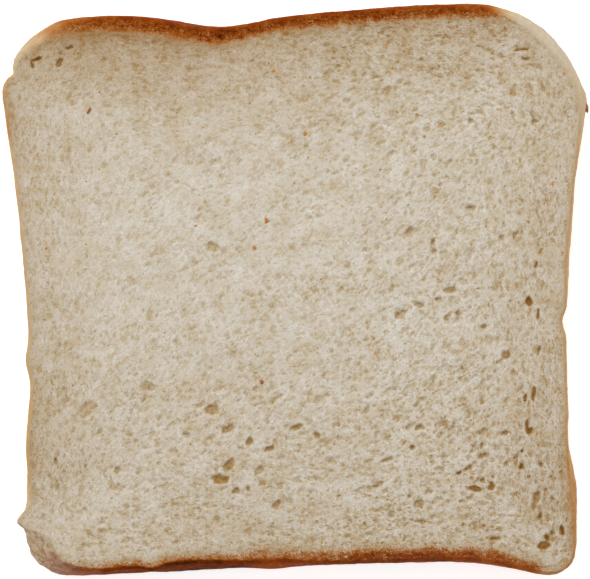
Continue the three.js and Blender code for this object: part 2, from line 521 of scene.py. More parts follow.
# The largest cells of the upper face.
LARGE_CELLS = tuple(
    OpenCell(*row)
    for row in (
        # lower left, a band of round ones
        (-16.6, -23.9, 3.4, 1.8, 0, 1.0), (-13.2, -27.8, 3.0, 1.5, 30, 1.1),
        (-9.1, -30.2, 2.0, 1.6, 45, 1.1), (0.4, -27.5, 3.4, 1.3, 25, 1.2),
        (-5.2, -31.8, 2.2, 1.0, 15, 1.1), (-13.2, -34.9, 2.6, 1.8, 40, 1.1),
        (-14.8, -37.7, 3.0, 2.1, 0, 1.5), (-7.2, -35.8, 2.4, 1.8, 45, 0.7),
        (-11.8, -40.0, 1.9, 1.1, 45, 1.1), (-9.6, -39.7, 1.6, 1.0, 50, 1.2),
        (4.6, -29.0, 1.4, 1.1, 30, 1.1), (-3.5, -42.7, 2.6, 1.1, 55, 1.0),
        (-35.6, -35.8, 1.3, 1.0, 40, 0.7), (-47.8, -34.1, 1.5, 0.7, 110, 1.0),
        (-31.6, -30.1, 1.4, 1.0, 10, 0.6), (-21.8, -28.9, 1.5, 1.2, 30, 0.8),
        (-41.2, -23.7, 4.0, 3.0, 50, 0.4), (-29.3, -19.4, 3.0, 2.0, 0, 0.5),
        # lower right
        (18.4, -33.7, 2.7, 1.2, 20, 1.0), (16.5, -38.9, 3.0, 1.2, 25, 0.8),
        (19.2, -44.7, 1.8, 1.5, 30, 0.8), (35.7, -39.7, 3.4, 1.5, 0, 2.6),
        (39.0, -39.2, 1.8, 1.5, 60, 1.6), (37.4, -38.1, 1.3, 1.0, 0, 1.0),
        (32.8, -36.5, 1.6, 1.0, 10, 2.0), (34.7, -35.5, 2.8, 1.4, 45, 1.1),
        (37.6, -33.1, 2.4, 1.1, 20, 1.0), (23.5, -31.3, 1.5, 1.2, 0, 1.3),
        (24.9, -27.6, 2.0, 1.1, 0, 1.0), (42.0, -28.6, 1.8, 1.1, 20, 1.2),
        (24.7, -42.5, 2.1, 1.6, 30, 0.8), (40.0, -49.7, 2.4, 0.6, 0, 1.3),
        (49.7, -50.9, 2.4, 1.8, 20, 2.4), (50.1, -49.2, 1.6, 1.1, 120, 1.8),
        (51.2, -48.5, 1.2, 1.0, 0, 0.9), (53.1, -47.9, 2.7, 0.8, 90, 2.4),
        (48.9, -45.2, 1.8, 1.0, 85, 1.3), (48.2, -41.4, 2.4, 1.0, 80, 1.2),
        (45.2, -32.2, 1.1, 0.8, 60, 1.2), (37.2, -31.0, 1.5, 0.8, 60, 1.0),
        (48.9, -34.9, 1.2, 0.8, 90, 1.4), (45.3, -35.4, 1.2, 0.9, 70, 1.3),
        # slits beside the right crust
        (46.3, -27.3, 3.3, 0.6, 88, 2.4), (46.8, -28.3, 1.6, 0.7, 80, 1.8),
        (47.6, -20.7, 3.4, 0.7, 85, 2.4), (46.0, -21.5, 1.8, 0.7, 80, 1.6),
        (48.6, -12.1, 2.0, 0.6, 88, 1.6), (48.4, -5.0, 2.8, 0.5, 90, 1.8),
        (48.1, 4.9, 1.6, 0.5, 88, 1.4),
        # right of the middle
        (30.9, -0.1, 2.2, 1.6, 20, 1.0), (28.6, -1.7, 1.2, 0.9, 0, 0.9),
        (20.9, -4.9, 2.8, 1.5, 10, 0.9), (24.8, -3.0, 1.8, 1.0, 10, 0.8),
        (30.5, -5.7, 1.6, 1.2, 0, 0.9), (32.4, -4.5, 1.6, 1.2, 50, 1.0),
        (37.6, -7.4, 1.3, 1.2, 0, 1.1), (41.9, -13.0, 2.2, 2.0, 30, 1.1),
        (46.7, -2.2, 2.0, 1.4, 90, 1.8), (27.6, 9.2, 1.6, 1.2, 80, 0.9),
        (28.2, 7.5, 1.3, 1.1, 0, 0.8), (22.8, 11.6, 2.2, 1.2, 35, 0.8),
        (34.9, 16.3, 2.4, 1.3, 15, 0.8), (41.0, 10.3, 1.6, 1.0, 80, 0.9),
        (44.0, 10.7, 1.8, 1.0, 60, 0.9), (-16.3, 8.4, 2.2, 2.2, 0, 0.6),
        # under the crown
        (-47.0, 45.3, 1.9, 1.2, 50, 1.1), (-45.0, 48.3, 1.6, 0.9, 10, 0.8),
        (-51.6, 45.9, 2.4, 0.7, 20, 2.0), (-52.4, 44.7, 1.5, 0.7, 110, 1.6),
        (46.0, 46.1, 1.7, 0.8, 0, 1.2), (45.2, 47.9, 3.4, 0.5, 8, 1.8),
        (35.0, 33.9, 1.2, 1.0, 0, 0.9), (47.8, 33.5, 1.1, 1.0, 0, 0.9),
    )
)


@dataclass(frozen=True)
class CrumbFace:
    """The open crumb of one cut face, as a map of how deep its cells go."""

    outline: Outline
    plan: Grid
    seed: int
    large: tuple[OpenCell, ...]
    layers: tuple[CellLayer, ...] = (
        CellLayer(3.0, (1.3, 2.4), (0.7, 1.2), (0.15, 0.6), 0.45),
        CellLayer(1.8, (0.9, 1.6), (0.5, 0.85), (0.12, 0.45), 0.7),
        CellLayer(1.2, (0.5, 0.9), (0.35, 0.55), (0.08, 0.3), 0.6),
    )
    pitch: float = 0.15  # of the map's points
    margin: float = 2.0  # of the map beyond the face
    skin: float = 1.8  # no cell opens nearer to the crust than this
    warp: float = 1.0  # how far noise pushes a cell's wall
    warp_grain: float = 1.4  # the size of that noise's lumps
    deepest: float = 1.8  # a cell this deep has the darkest painted shade
    most: float = 0.8  # and none is pressed deeper than this
    faintest_cell_shade: float = 0.2  # how dark the painted shade of the shallowest cell is
    turn_spread: float = 50.0  # how many degrees the small cells' turns differ by

    # How much opener the crumb gets along an axis (0 across, 1 up) from one place to another.
    OPENING = ((0, -30.0, 45.0, 0.4), (1, 5.0, -40.0, 0.34), (1, 20.0, 48.0, 0.12))
    TIGHTEST = 0.42
    # A cell's edge, the end of its slope, the end of its painted dark border, and the two edges of the
    # painted highlight on the pale wall round it, all as shares of its half size.
    EDGE, SLOPE, DARK, WALL = 1.15, 0.5, 0.8, (1.7, 1.3)

    @classmethod
    def openness(cls, plan: np.ndarray) -> np.ndarray:
        """Say how open the crumb is at each place: coarser to the right and at the foot, finer at the left.

        Args:
            plan: positions in millimetres.

        Returns:
            A number from about 0.45 to 1.2 for each place.
        """
        total = cls.TIGHTEST
        for axis, start, end, share in cls.OPENING:
            total = total + share * smooth_step(start, end, plan[:, axis])
        return total

    def cells(self) -> list[OpenCell]:
        """Scatter the small cells and add the large ones.

        Returns:
            Every open cell of the face.
        """
        rng = np.random.default_rng(self.seed)
        low, high = self.outline.corners.min(0), self.outline.corners.max(0)
        found: list[OpenCell] = []
        for layer in self.layers:
            steps = [np.arange(low[a], high[a], layer.pitch) for a in (0, 1)]
            places = np.stack(np.meshgrid(*steps, indexing="ij"), axis=-1).reshape(-1, 2)
            places = places + rng.uniform(-0.5, 0.5, places.shape) * layer.pitch
            draws = rng.random((len(places), 5))
            open_here = self.openness(places)
            flow = self.plan.read("flow_x", places) + 1j * self.plan.read("flow_y", places)
            turns = np.degrees(np.angle(flow)) / 2 + (draws[:, 4] - 0.5) * self.turn_spread
            keep = (draws[:, 0] < layer.share * open_here) & (
                self.plan.read("inwards", places) > self.skin + layer.width[1]
            )
            lengths, widths, depths = (
                np.interp(draws[:, 1 + i], (0, 1), bounds)
                for i, bounds in enumerate((layer.length, layer.width, layer.depth))
            )
            columns = (places[:, 0], places[:, 1], lengths, widths, turns, depths * open_here)
            found += [OpenCell(*map(float, row)) for row in np.stack(columns, axis=1)[keep]]
        return found + list(self.large)

    def maps(self) -> Grid:
        """Press every cell into the face.

        Returns:
            How deep the crumb lies at each point (depth), a painted shade that darkens a cell more the
            deeper it is, and a painted highlight on the pale wall round a cell.
        """
        low = self.outline.corners.min(0) - self.margin
        high = self.outline.corners.max(0) + self.margin
        xs, ys = (np.arange(low[a], high[a], self.pitch) for a in (0, 1))
        x, y = np.meshgrid(xs, ys)
        flat = np.stack([x.ravel(), y.ravel(), np.full(x.size, 3.0 * self.seed)], axis=1).astype(np.float32)
        pushes = [
            self.warp * Noise(self.seed + i).fractal(flat, self.warp_grain, 3).reshape(x.shape)
            for i in (1, 2)
        ]
        depth, cell_shade, cell_highlight = np.zeros(x.shape), np.zeros(x.shape), np.zeros(x.shape)
        for cell in self.cells():
            reach = self.WALL[0] / 2 * cell.length + self.warp
            columns = slice(*np.searchsorted(xs, (cell.x - reach, cell.x + reach)))
            rows = slice(*np.searchsorted(ys, (cell.y - reach, cell.y + reach)))
            bend = min(1.0, cell.width**2)  # a thin slit keeps its shape
            dx, dy = (
                line[rows, columns] + bend * push[rows, columns] - middle
                for line, push, middle in ((x, pushes[0], cell.x), (y, pushes[1], cell.y))
            )
            c, s = math.cos(math.radians(cell.turn)), math.sin(math.radians(cell.turn))
            out = np.hypot((c * dx + s * dy) / (cell.length / 2), (c * dy - s * dx) / (cell.width / 2))
            # Painted shade: a deeper cell is darker, and the painted highlight on the wall round it is as
            # strong.
            dark = self.faintest_cell_shade + (1.0 - self.faintest_cell_shade) * (cell.depth / self.deepest) ** 1.5
            dark = min(1.0, dark)
            pressed = min(cell.depth, self.most)
            for layer, values in (
                (depth, pressed * smooth_step(self.EDGE, self.SLOPE, out)),
                (cell_shade, dark * smooth_step(self.EDGE, self.DARK, out)),
                (cell_highlight, dark * smooth_step(*self.WALL, out)),
            ):
                layer[rows, columns] = np.maximum(layer[rows, columns], values)
        layers = {"depth": depth, "cell_shade": cell_shade, "cell_highlight": cell_highlight - cell_shade}
        return Grid(float(xs[0]), float(ys[0]), self.pitch, layers)


# ---------------------------------------------------------------------------------------------------------
# Finishes
# ---------------------------------------------------------------------------------------------------------


class Mark(Enum):
    """What is written on each vertex of the slice for its material to read."""

    TOAST = "toast"  # how dark the baking has made it, from 0 to 1
    CELL_SHADE = "cell"  # painted shade and bounced light in an open cell, stronger for a deeper cell, from 0 to 1
    CELL_HIGHLIGHT = "cell_highlight"  # painted highlight on the pale wall round a cell, from 0 to 1
    WALL = "wall"  # 1 on the crust's outside and 0 on the cut faces
    TAN_AND_EDGE_SHADE = "tan_and_edge_shade"  # how tan the crumb is: partly the oven's tint and its own tone, partly painted shade towards the edges
    FLOUR = "flour"  # how floury and wrinkled the crust is
    OPEN = "open"  # how coarse and lively the crumb is
    LIE = "lie"  # shares of level, aslant and upright fine cells


@dataclass(frozen=True)
class BakedBread:
    """White wheat bread, baked in a tin and cut.

    The crumb is matt and cream, because light scatters in its thin moist walls, and its open cells are
    tan, because light bounces in them many times. The crust is the same dough browned by the oven, from
    cream where the tin kept it pale to deep brown over the crown, and a little glossy.
    """

    # the colours of the crumb, from the palest walls to the bottom of a deep cell; the darker stops give
    # the cells their painted shade and bounced light, and the crumb its own tan
    crumb: tuple[tuple[float, str], ...] = (
        (0.0, "#DFDBD5"),
        (0.16, "#D6CFC4"),
        (0.32, "#CBBFAB"),
        (0.48, "#BEAC8B"),
        (0.64, "#B39668"),
        (0.82, "#A67E48"),
        (1.0, "#8E642E"),
    )
    # the colours of baking, from raw crumb to burnt crust
    browning: tuple[tuple[float, str], ...] = (
        (0.0, "#CBBEA9"),
        (0.12, "#C4B49B"),
        (0.24, "#C2A985"),
        (0.36, "#BA9465"),
        (0.48, "#A97340"),
        (0.6, "#995418"),
        (0.72, "#873A08"),
        (0.84, "#682C08"),
        (1.0, "#3A1404"),
    )
    tan_and_shade_tint: str = "#C9AA8C"  # what the oven's heat tints the crumb near the crust, and the tint of the painted shade towards the edges
    flour: tuple[str, str] = ("#8A765B", "#CBBEA8")  # dried flour, from thin to thick; the dark end is partly painted shade on the sloping floury corners
    # how the fine cells lie, in degrees: level, aslant and upright
    lies: tuple[float, float, float] = (0.0, 38.0, 90.0)
    # fine cells, too small for the mesh: length along their lie and width across it, in millimetres
    fine_cell: tuple[float, float] = (2.1, 1.0)
    finer: float = 1.9  # how many times smaller the second size of fine cell is
    pit: float = 2.4  # how many times smaller the squares are that hold the pits
    fibre: float = 1.4  # length of the crumb's torn strands, in millimetres
    # The finest shreds are under 0.1 mm. They are drawn 0.24 mm long, so that they show.
    shred: float = 0.24
    fluff: float = 2.2  # how strongly the shreds show, beside the strands
    relief: float = 0.04  # how deep the fine cells look, in millimetres
    crust_grain: float = 0.8  # of the crust's skin, in millimetres

    def build(self) -> bpy.types.Material:
        """Make the material.

        Returns:
            The finished material.
        """
        material = bpy.data.materials.new("baked white bread")
        material.use_nodes = True
        tree = material.node_tree
        tree.nodes.clear()
        place = add_node(tree, "TexCoord", take="Object")
        mm = add_node(tree, "VectorMath", {0: place, "Scale": 1 / MM}, operation="SCALE")
        marks = {
            mark: add_node(
                tree, "Attribute", take="Vector" if mark is Mark.LIE else "Fac", attribute_name=mark.value
            )
            for mark in Mark
        }
        cells, strands, pits = self.fine_crumb(tree, mm, marks[Mark.LIE])
        toast = self.toast(tree, mm, cells, strands, marks)
        crumb = self.ramp(tree, self.openness(tree, mm, (cells, strands, pits), marks), self.crumb)
        # The crumb is multiplied by a tan tint: by the toast for the oven's tint, and by the warm mark,
        # partly the oven's tint and partly painted shade towards the edges.
        tan_and_shade_share = add_node(
            tree, "Math", {0: toast, 1: 0.4, 2: marks[Mark.TAN_AND_EDGE_SHADE]}, operation="MULTIPLY_ADD", use_clamp=True
        )
        tan_and_shade_tint = {0: tan_and_shade_share, 6: crumb, 7: linear(self.tan_and_shade_tint)}
        crumb = add_node(tree, "Mix", tan_and_shade_tint, take=2, data_type="RGBA", blend_type="MULTIPLY")
        floured_and_shaded = self.floured_and_shaded(tree, mm, self.ramp(tree, toast, self.browning), marks[Mark.FLOUR])
        baked = add_node(tree, "MapRange", {"Value": toast, "From Min": 0.32, "From Max": 0.5})
        skin = add_node(tree, "Math", {0: baked, 1: marks[Mark.WALL]}, operation="MAXIMUM")
        colour = add_node(tree, "Mix", {0: skin, 6: crumb, 7: floured_and_shaded}, take=2, data_type="RGBA")
        rough = add_node(tree, "MapRange", {"Value": toast, "From Max": 0.9, "To Min": 0.95, "To Max": 0.7})
        shader = add_node(
            tree,
            "BsdfPrincipled",
            {
                "Base Color": colour,
                "Roughness": rough,
                "IOR": 1.4,
                "Specular IOR Level": 0.02,
                "Subsurface Weight": 0.25,
                "Subsurface Radius": (1.0, 0.7, 0.45),
                "Subsurface Scale": 0.8 * MM,
                "Normal": self.bumps(tree, mm, cells, strands, marks[Mark.WALL]),
            },
        )
        add_node(tree, "OutputMaterial", {"Surface": shader})
        return material

    @staticmethod
    def ramp(
        tree: bpy.types.NodeTree, value: bpy.types.NodeSocket, colours: tuple[tuple[float, str], ...]
    ) -> bpy.types.NodeSocket:
        """Colour a value.

        Args:
            tree: the material's nodes.
            value: the value, from 0 to 1.
            colours: a place from 0 to 1 and a colour for each stop.

        Returns:
            The colour.
        """
        colour = add_node(tree, "ValToRGB", {"Fac": value})
        stops = colour.node.color_ramp.elements
        for stop, (position, shade) in zip((stops[0], stops[1]), (colours[0], colours[-1])):
            stop.position, stop.color = position, linear(shade)
        for position, shade in colours[1:-1]:
            stops.new(position).color = linear(shade)
        return colour

    def fine_crumb(
        self, tree: bpy.types.NodeTree, mm: bpy.types.NodeSocket, lie: bpy.types.NodeSocket
    ) -> tuple[bpy.types.NodeSocket, bpy.types.NodeSocket, bpy.types.NodeSocket]:
        """Draw the fine cells, the torn strands between them and small pits, all along the crumb's lie.

        Args:
            tree: the material's nodes.
            mm: the place on the slice, in millimetres.
            lie: shares of level, aslant and upright cells.

        Returns:
            1 in the middle of a cell and 0 on the walls, how pale the strands are, and 1 in a pit.
        """
        wobble = {"Vector": mm, "Scale": 0.9, "Detail": 3.0, "Roughness": 0.6}
        wobble = add_node(tree, "TexNoise", wobble, "Color")
        wobble = add_node(tree, "VectorMath", {0: wobble, 1: (0.5, 0.5, 0.5)}, operation="SUBTRACT")
        bent = {0: wobble, 1: (1.5, 1.5, 0.0), 2: mm}
        bent = add_node(tree, "VectorMath", bent, operation="MULTIPLY_ADD")
        shares = add_node(tree, "SeparateXYZ", {0: lie}).node.outputs
        length, width = self.fine_cell
        cells, strands, pits = 0.0, 0.0, 0.0
        for turn, share in zip(self.lies, shares):
            turned = add_node(
                tree,
                "Mapping",
                {
                    "Vector": bent,
                    "Location": (turn, 3.7 * turn, 0.0),
                    "Rotation": (0.0, 0.0, math.radians(turn)),
                    "Scale": (length, width, 1.0),
                },
                vector_type="TEXTURE",
            )
            hollows = []
            for scale in (1.0, self.finer):
                near = {"Vector": turned, "Scale": scale}
                near = add_node(tree, "TexVoronoi", near, voronoi_dimensions="2D")
                chance = add_node(tree, "SeparateColor", {0: near.node.outputs["Color"]})
                size = add_node(tree, "MapRange", {"Value": chance, "To Min": -0.1, "To Max": 0.6})
                inside = add_node(tree, "Math", {0: size, 1: near}, operation="SUBTRACT")
                hollow = {"Value": inside, "From Max": 0.26}
                hollows.append(add_node(tree, "MapRange", hollow, interpolation_type="SMOOTHSTEP"))
            hollow = add_node(tree, "Math", {0: hollows[0], 1: hollows[1]}, operation="MAXIMUM")
            strand = add_node(
                tree,
                "TexNoise",
                {"Vector": turned, "Scale": length / self.fibre, "Detail": 4.0, "Roughness": 1.0},
            )
            shreds = {"Vector": turned, "Scale": length / self.shred, "Detail": 1.0}
            shreds = {0: add_node(tree, "TexNoise", shreds), 1: self.fluff, 2: strand}
            strand = add_node(tree, "Math", shreds, operation="MULTIPLY_ADD")
            strand = add_node(tree, "Math", {0: strand, 1: 0.5 + 0.5 * self.fluff}, operation="SUBTRACT")
            near = {"Vector": turned, "Scale": self.pit}
            near = add_node(tree, "TexVoronoi", near, voronoi_dimensions="2D")
            chance = add_node(tree, "SeparateColor", {0: near.node.outputs["Color"]})
            size = {"Value": chance, "From Min": 0.62, "To Min": -0.1, "To Max": 0.42}
            size = add_node(tree, "MapRange", size)
            inside = add_node(tree, "Math", {0: size, 1: near}, operation="SUBTRACT")
            pit = add_node(tree, "MapRange", {"Value": inside, "From Max": 0.16})
            # A strand lies wherever slow noise crosses its middle value.
            web = {"Vector": turned, "Scale": 1.1, "Detail": 1.0, "Roughness": 0.6}
            web = add_node(tree, "TexNoise", web)
            web = add_node(tree, "Math", {0: web, 1: 0.5}, operation="SUBTRACT")
            web = add_node(tree, "Math", {0: web}, operation="ABSOLUTE")
            web = {"Value": web, "From Max": 0.09, "To Min": 0.16, "To Max": -0.06}
            web = add_node(tree, "MapRange", web)
            both = add_node(tree, "Math", {0: strand, 1: web}, operation="ADD")
            cells = add_node(tree, "Math", {0: hollow, 1: share, 2: cells}, operation="MULTIPLY_ADD")
            strands = add_node(tree, "Math", {0: both, 1: share, 2: strands}, operation="MULTIPLY_ADD")
            pits = add_node(tree, "Math", {0: pit, 1: share, 2: pits}, operation="MULTIPLY_ADD")
        return cells, strands, pits

    @staticmethod
    def openness(
        tree: bpy.types.NodeTree,
        mm: bpy.types.NodeSocket,
        fine: tuple[bpy.types.NodeSocket, ...],
        marks: dict[Mark, bpy.types.NodeSocket],
    ) -> bpy.types.NodeSocket:
        """Add up all that makes the crumb paler or tanner.

        Args:
            tree: the material's nodes.
            mm: the place on the slice, in millimetres.
            fine: the fine cells, strands and pits.
            marks: the slice's vertex marks.

        Returns:
            A value from 0, the palest wall, to 1, the deepest cell.
        """
        cells, strands, pits = fine
        patches = add_node(tree, "TexNoise", {"Vector": mm, "Scale": 0.22, "Detail": 2.0})
        open_here = {"Value": marks[Mark.OPEN], "From Min": 0.45, "From Max": 1.1}
        dense = add_node(tree, "MapRange", open_here | {"To Min": 0.12, "To Max": 0.42})
        lively = add_node(tree, "MapRange", open_here | {"To Min": 0.6, "To Max": 0.84})
        painted_pit_shade = add_node(tree, "Math", {0: pits, 1: dense}, operation="MULTIPLY")
        cells, strands = (
            add_node(tree, "Math", {0: part, 1: lively}, operation="MULTIPLY") for part in (cells, strands)
        )
        total = 0.07  # what crumb with nothing in it has
        # The fine cells, the pits and the cell mark tan the crumb as painted shade and bounced light in its
        # hollows; the highlight mark pales it as painted light on the walls round the cells.
        for part, share in (
            (patches, 0.34),
            (strands, -0.6),
            (cells, 0.23),
            (painted_pit_shade, 1.0),
            (marks[Mark.CELL_SHADE], 0.58),
            (marks[Mark.CELL_HIGHLIGHT], -0.1),
            (marks[Mark.TAN_AND_EDGE_SHADE], 0.42),
            (marks[Mark.TOAST], 0.3),
        ):
            total = add_node(tree, "Math", {0: part, 1: share, 2: total}, operation="MULTIPLY_ADD")
        # Bran specks: one in five of the squares of a 2.6 mm pattern holds one, 0.3 mm across.
        near = add_node(tree, "TexVoronoi", {"Vector": mm, "Scale": 1 / 2.6}, voronoi_dimensions="2D")
        chance = add_node(tree, "SeparateColor", {0: near.node.outputs["Color"]})
        size = add_node(tree, "MapRange", {"Value": chance, "From Min": 0.8, "To Max": 0.085})
        inside = add_node(tree, "Math", {0: size, 1: near}, operation="SUBTRACT")
        speck = add_node(tree, "MapRange", {"Value": inside, "From Max": 0.03, "To Max": 0.5})
        return add_node(tree, "Math", {0: total, 1: speck}, operation="ADD", use_clamp=True)

    def toast(
        self,
        tree: bpy.types.NodeTree,
        mm: bpy.types.NodeSocket,
        cells: bpy.types.NodeSocket,
        strands: bpy.types.NodeSocket,
        marks: dict[Mark, bpy.types.NodeSocket],
    ) -> bpy.types.NodeSocket:
        """Make the baking uneven: blotches, grains, and darker cells where the crust is cut, their darkness
        painted shade.

        Args:
            tree: the material's nodes.
            mm: the place on the slice, in millimetres.
            cells: the fine cells' mask.
            strands: the strands' noise.
            marks: the slice's vertex marks.

        Returns:
            How dark the baking is, from 0 to 1.
        """
        blotch = add_node(tree, "TexNoise", {"Vector": mm, "Scale": 0.3, "Detail": 3.0, "Roughness": 0.6})
        grain = {"Vector": mm, "Scale": 1 / self.crust_grain, "Detail": 3.0, "Roughness": 0.75}
        grain = add_node(tree, "TexNoise", grain)
        cut = add_node(tree, "Math", {0: 1.0, 1: marks[Mark.WALL]}, operation="SUBTRACT", use_clamp=True)
        # Painted shade: the fine cells darken the cut crust.
        cut_cell_shade = add_node(tree, "Math", {0: cut, 1: cells}, operation="MULTIPLY")
        cut_strands = add_node(tree, "Math", {0: cut, 1: strands}, operation="MULTIPLY")
        factor = 1.0 - 0.5 * (0.6 + 0.55)  # which leaves the mean of the blotches and grains at 1
        for part, share in ((blotch, 0.6), (grain, 0.55), (cut_cell_shade, 0.16), (cut_strands, -0.62)):
            factor = add_node(tree, "Math", {0: part, 1: share, 2: factor}, operation="MULTIPLY_ADD")
        toast = {0: marks[Mark.TOAST], 1: factor}
        return add_node(tree, "Math", toast, operation="MULTIPLY", use_clamp=True)

    def floured_and_shaded(
        self,
        tree: bpy.types.NodeTree,
        mm: bpy.types.NodeSocket,
        crust: bpy.types.NodeSocket,
        amount: bpy.types.NodeSocket,
    ) -> bpy.types.NodeSocket:
        """Dust the crust with flour, mottled from grey-brown to cream; the grey-brown is partly painted
        shade on the sloping floury corners.

        Args:
            tree: the material's nodes.
            mm: the place on the slice, in millimetres.
            crust: the crust's colour.
            amount: how floury it is.

        Returns:
            The dusted colour.
        """
        patch = add_node(tree, "TexNoise", {"Vector": mm, "Scale": 0.8, "Detail": 3.0, "Roughness": 0.65})
        spread = add_node(tree, "MapRange", {"Value": patch, "From Min": 0.36, "From Max": 0.62})
        dust_and_shade = {0: spread, 6: linear(self.flour[0]), 7: linear(self.flour[1])}
        dust_and_shade = add_node(tree, "Mix", dust_and_shade, take=2, data_type="RGBA")
        part = add_node(tree, "Math", {0: amount, 1: 0.8}, operation="MULTIPLY", use_clamp=True)
        return add_node(tree, "Mix", {0: part, 6: crust, 7: dust_and_shade}, take=2, data_type="RGBA")

    def bumps(
        self,
        tree: bpy.types.NodeTree,
        mm: bpy.types.NodeSocket,
        cells: bpy.types.NodeSocket,
        strands: bpy.types.NodeSocket,
        wall: bpy.types.NodeSocket,
    ) -> bpy.types.NodeSocket:
        """Give the surface its finest relief: cells and torn walls in the crumb, and pores in the crust.

        Args:
            tree: the material's nodes.
            mm: the place on the slice, in millimetres.
            cells: the fine cells' mask.
            strands: the strands' noise.
            wall: 1 on the crust's outside.

        Returns:
            The bumped normal.
        """
        pores = add_node(tree, "TexNoise", {"Vector": mm, "Scale": 1.6, "Detail": 3.0, "Roughness": 0.6})
        cut = add_node(tree, "Math", {0: 1.0, 1: wall}, operation="SUBTRACT", use_clamp=True)
        hollow = add_node(tree, "Math", {0: cells, 1: cut}, operation="MULTIPLY")
        height = add_node(tree, "Math", {0: hollow, 1: -0.7, 2: strands}, operation="MULTIPLY_ADD")
        rough = add_node(tree, "Math", {0: wall, 1: 2.5, 2: 1.0}, operation="MULTIPLY_ADD")
        height = add_node(tree, "Math", {0: pores, 1: rough, 2: height}, operation="MULTIPLY_ADD")
        return add_node(tree, "Bump", {"Height": height, "Strength": 1.0, "Distance": self.relief * MM})


@dataclass(frozen=True)
class BrokenCrust:
    """A bit of crust that broke off, baked hard: mottled between two colours and slightly glossy."""

    name: str
    light: str
    dark: str
    mottle: float = 0.4  # size of the mottling, in millimetres

    def build(self) -> bpy.types.Material:
        """Make the material.

        Returns:
            The finished material.
        """
        material = bpy.data.materials.new(self.name)
        material.use_nodes = True
        tree = material.node_tree
        tree.nodes.clear()
        place = add_node(tree, "TexCoord", take="Object")
        mottle = {"Vector": place, "Scale": 1 / (self.mottle * MM), "Detail": 2.0}
        mottle = add_node(tree, "TexNoise", mottle)
        spread = add_node(tree, "MapRange", {"Value": mottle, "From Min": 0.35, "From Max": 0.65})
        colour = {0: spread, 6: linear(self.light), 7: linear(self.dark)}
        colour = add_node(tree, "Mix", colour, take=2, data_type="RGBA")
        bump = add_node(tree, "Bump", {"Height": mottle, "Strength": 0.6, "Distance": 0.05 * MM})
        shader = add_node(
            tree, "BsdfPrincipled", {"Base Color": colour, "Roughness": 0.6, "IOR": 1.45, "Normal": bump}
        )
        add_node(tree, "OutputMaterial", {"Surface": shader})
        return material


# ---------------------------------------------------------------------------------------------------------
# The pieces
# ---------------------------------------------------------------------------------------------------------


@dataclass
class Skin:
    """The points of the slice's skin, with what is known of each. Lengths are in millimetres."""

    places: np.ndarray
    normals: np.ndarray
    upper: np.ndarray  # whether each is in the upper half
    known: dict[str, np.ndarray]

    @classmethod
    def of_mesh(cls, mesh: bpy.types.Mesh, middle: float) -> "Skin":
        """Read a mesh.

        Args:
            mesh: the mesh, in millimetres.
            middle: the height that parts the upper half from the lower.

        Returns:
            Its skin, of which nothing more is known yet.
        """
        places, normals = (np.empty(len(mesh.vertices) * 3, dtype=np.float32) for _ in range(2))
        mesh.vertices.foreach_get("co", places)
        mesh.vertices.foreach_get("normal", normals)
        places = places.reshape(-1, 3)
        return cls(places, normals.reshape(-1, 3), places[:, 2] > middle, {})

    def learn(self, upper: bool, grid: Grid) -> None:
        """Read every layer of a grid at the points of one half.

        Args:
            upper: which half.
            grid: the grid.
        """
        half = self.upper == upper
        for name in grid.layers:
            values = self.known.setdefault(name, np.zeros(len(self.places)))
            values[half] = grid.read(name, self.places[half, :2].astype(float))


